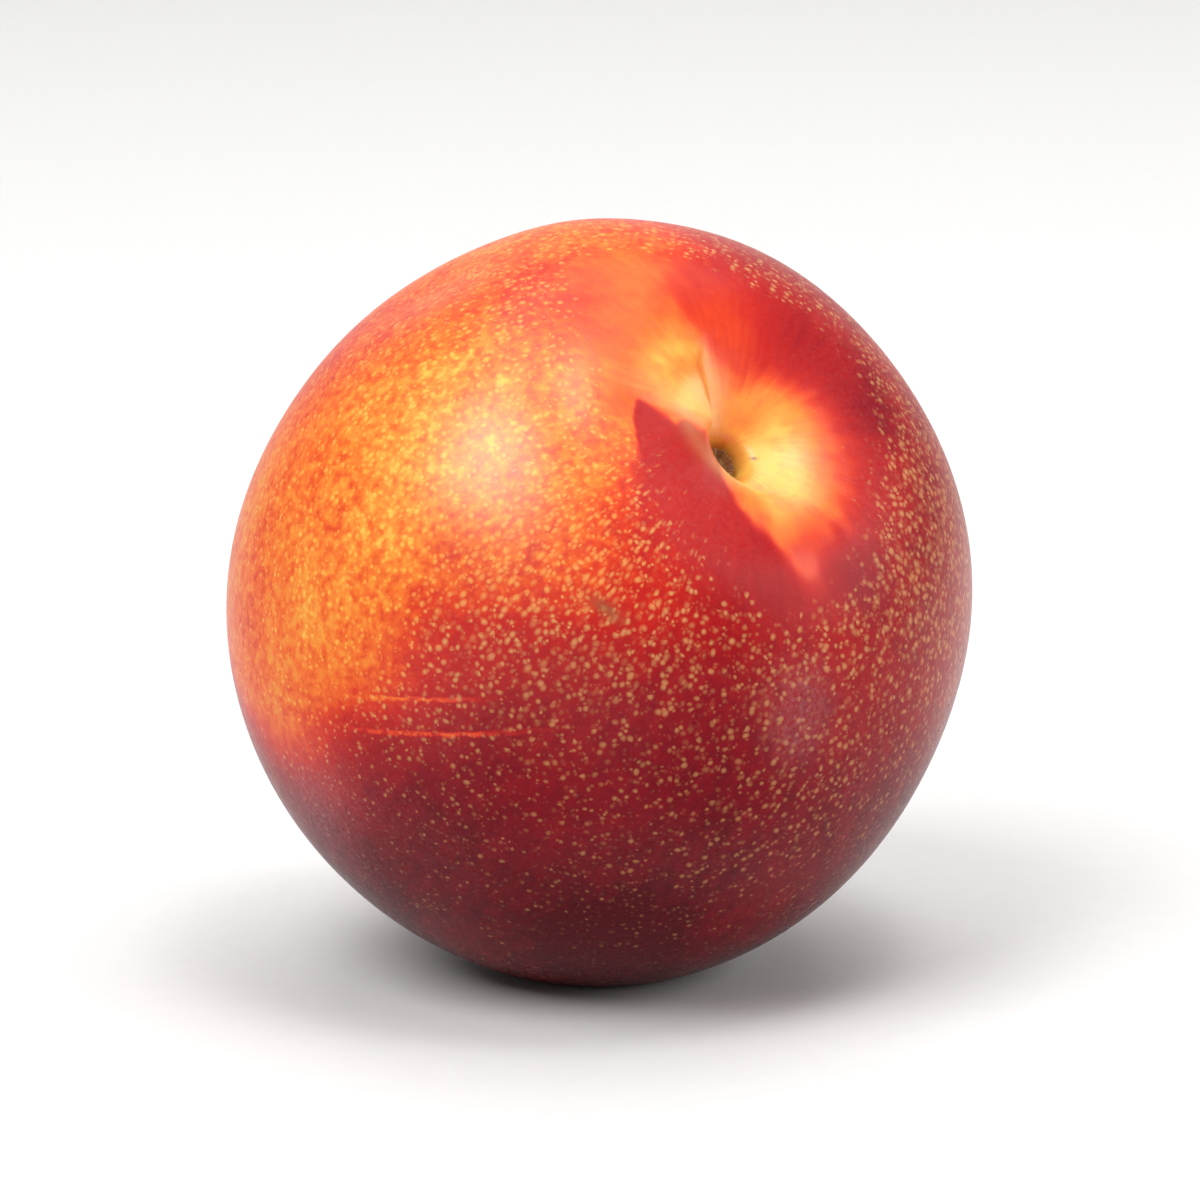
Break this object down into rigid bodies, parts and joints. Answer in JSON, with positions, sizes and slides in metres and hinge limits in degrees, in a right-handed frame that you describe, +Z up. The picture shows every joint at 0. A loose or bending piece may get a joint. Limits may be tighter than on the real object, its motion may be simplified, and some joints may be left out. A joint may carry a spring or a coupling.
{
  "type": "apricot",
  "caption": "Ripe whole apricot with smooth red-and-gold speckled skin, lying on its side, with the stalk's stub in its stem cavity.",
  "frame": {"origin": "on the surface that the fruit rests on, at the small flat spot on its underside, straight below the fruit's middle", "axes": "+Z up; seen from -Y the stem end faces the viewer, leaning up and to the right (+X)"},
  "size_m": [0.0555, 0.0559, 0.0563],
  "materials": {
    "skin": "smooth waxy fruit skin, red blush over gold ground with pale pores and a thin grey bloom",
    "stalk": "dry broken stalk, rough"
  },
  "bodies": {
    "root": {"fruit": "skin", "stalk_stub": "stalk"}
  },
  "joints": []
}
